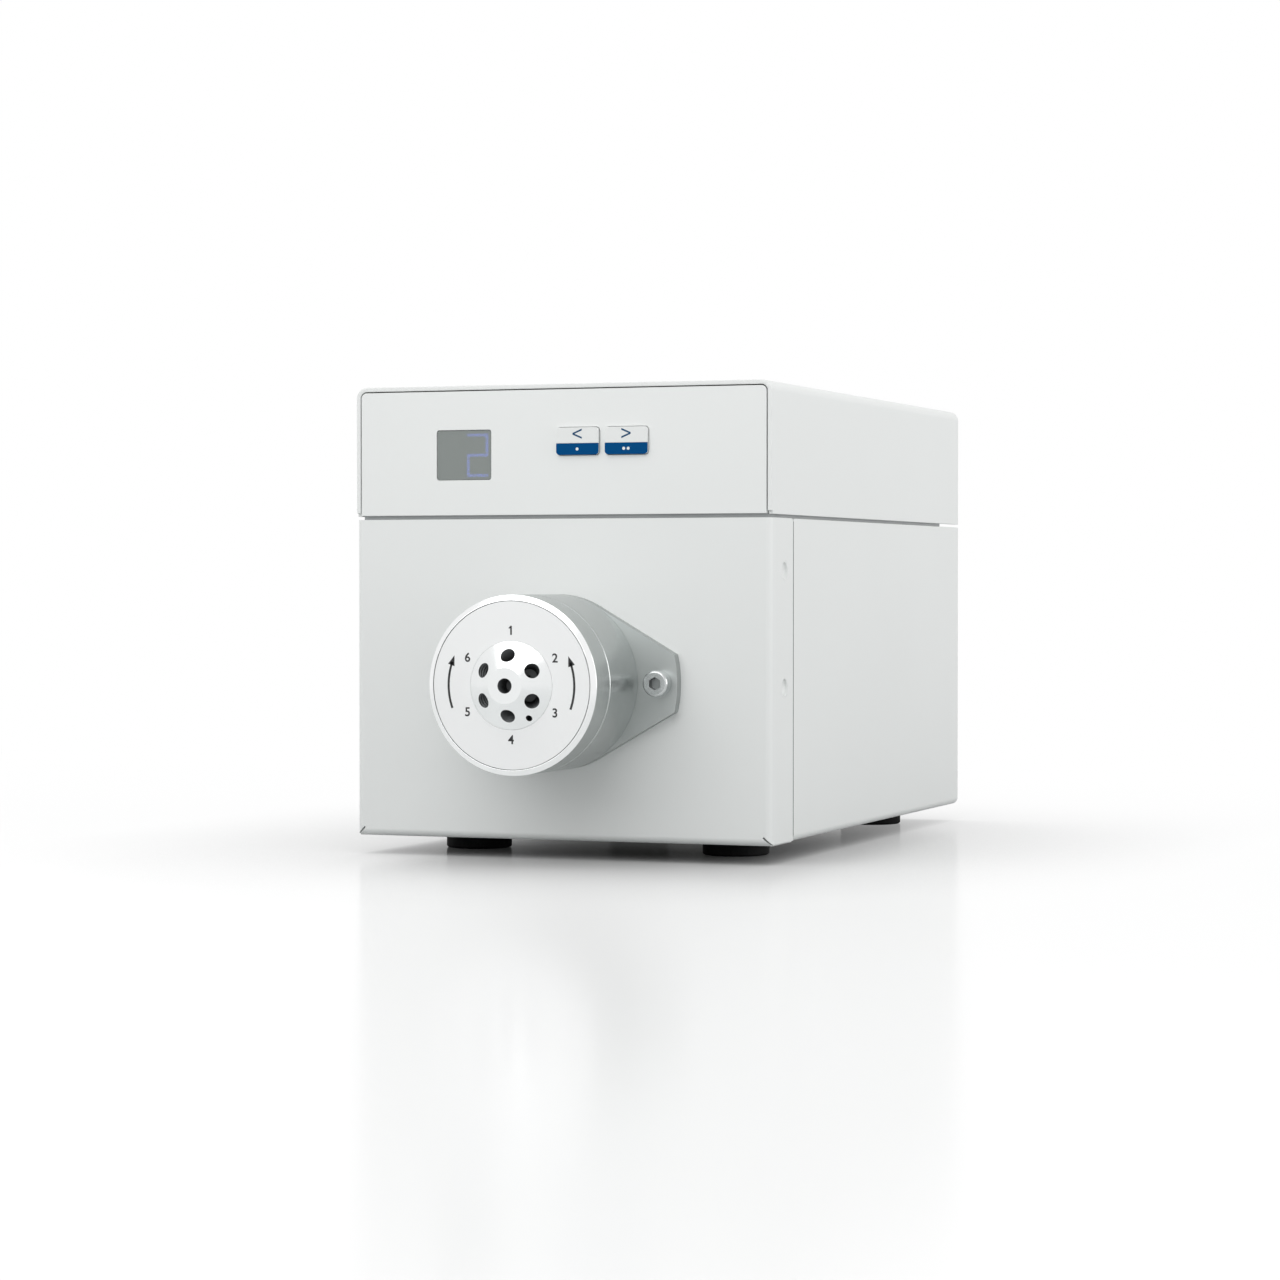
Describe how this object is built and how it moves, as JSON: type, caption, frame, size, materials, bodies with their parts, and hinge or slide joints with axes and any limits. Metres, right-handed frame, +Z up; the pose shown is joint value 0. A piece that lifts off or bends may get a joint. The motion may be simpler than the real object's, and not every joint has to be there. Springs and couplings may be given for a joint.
{
  "type": "hplc injection valve",
  "caption": "Two-position injection valve with a numbered coned stator, on a white sheet-metal drive box with a display and two keys.",
  "frame": {"origin": "under the middle of the whole unit, on the bench", "axes": "+Y goes back from the front panel, +X is to the right seen from the front, +Z is up"},
  "size_m": [0.121, 0.2254, 0.129],
  "materials": {
    "housing_paint": "satin powder coat",
    "fascia_paint": "satin",
    "zinc_steel": "zinc plated",
    "stainless": "fine turned",
    "stator_steel": "fine blasted",
    "dial_white": "satin",
    "foot_rubber": "matt",
    "screw_steel": "bright",
    "plate_aluminium": "milled",
    "bearing_bronze": "sintered",
    "gear_steel": "hobbed",
    "spring_steel": "oiled",
    "seal_polymer": "lapped",
    "disc_black": "matt",
    "motor_black": "matt",
    "connector_black": "moulded",
    "connector_green": "moulded",
    "board_green": "solder mask",
    "key_white": "moulded",
    "key_blue": "moulded",
    "window_grey": "polished acrylic",
    "module_grey": "moulded",
    "digit_blue": "lit",
    "cable_grey": "vinyl"
  },
  "bodies": {
    "housing": {"front_panel": "housing_paint", "side_rivets": "housing_paint", "base_tray": "housing_paint", "chassis": "zinc_steel", "rear_panel": "housing_paint", "hood": "housing_paint", "hood_screws": "screw_steel", "feet": "foot_rubber", "foot_fasteners": "screw_steel", "fascia": "fascia_paint", "fascia_nuts": "screw_steel", "display_window": "window_grey", "display_module": "module_grey", "display_digit": "digit_blue", "tact_switches": "connector_black", "keypad_board": "board_green", "keypad_spacers": "bearing_bronze", "flange_plate": "stainless", "flange_screws": "screw_steel", "valve_body": "stainless", "body_screws": "screw_steel", "clamp_ring": "stainless", "dial_plate": "dial_white", "stator": "stator_steel", "thrust_bearing": "gear_steel", "spring_washers": "spring_steel", "preload_nut": "gear_steel", "drive_front_plate": "plate_aluminium", "plate_spacers": "plate_aluminium", "plate_screws": "screw_steel", "motor_plate": "plate_aluminium", "drive_bushes": "bearing_bronze", "position_sensor": "connector_black", "motor_caps": "plate_aluminium", "motor_stack": "motor_black", "motor_screws": "screw_steel", "main_board": "board_green", "board_standoffs": "bearing_bronze", "board_screws": "screw_steel", "board_chips": "connector_black", "capacitors": "disc_black", "board_headers": "key_white", "ribbon_cable": "cable_grey", "motor_cable": "disc_black", "power_jack": "connector_black", "terminal_block": "connector_green", "serial_port": "zinc_steel"},
    "rotor": {"rotor_seal": "seal_polymer", "shaft_pins": "screw_steel", "valve_shaft": "gear_steel", "drive_coupling": "gear_steel", "drive_shaft": "gear_steel", "drive_gear": "gear_steel", "encoder_disc": "disc_black"},
    "motor_rotor": {"motor_shaft": "gear_steel", "motor_pinion": "gear_steel"},
    "left_button": {"left_key": "key_white", "left_key_band": "key_blue"},
    "right_button": {"right_key": "key_white", "right_key_band": "key_blue"}
  },
  "joints": [
    {"name": "valve_turn", "type": "hinge", "parent": "housing", "child": "rotor", "pos_m": [0, -0.0743, 0.0483], "axis": [0, 1, 0], "range_deg": [0, 60]},
    {"name": "motor_spin", "type": "hinge", "parent": "housing", "child": "motor_rotor", "pos_m": [0, -0.0743, 0.0783], "axis": [0, 1, 0], "range_deg": [-240, 0]},
    {"name": "left_press", "type": "slide", "parent": "housing", "child": "left_button", "axis": [0, 1, 0], "range_m": [0, 0.0006], "stiffness_N_per_m": 500, "springref_m": -0.002},
    {"name": "right_press", "type": "slide", "parent": "housing", "child": "right_button", "axis": [0, 1, 0], "range_m": [0, 0.0006], "stiffness_N_per_m": 500, "springref_m": -0.002}
  ],
  "couplings": [
    {"joint": "motor_spin", "follows": "valve_turn", "ratio": -4}
  ]
}
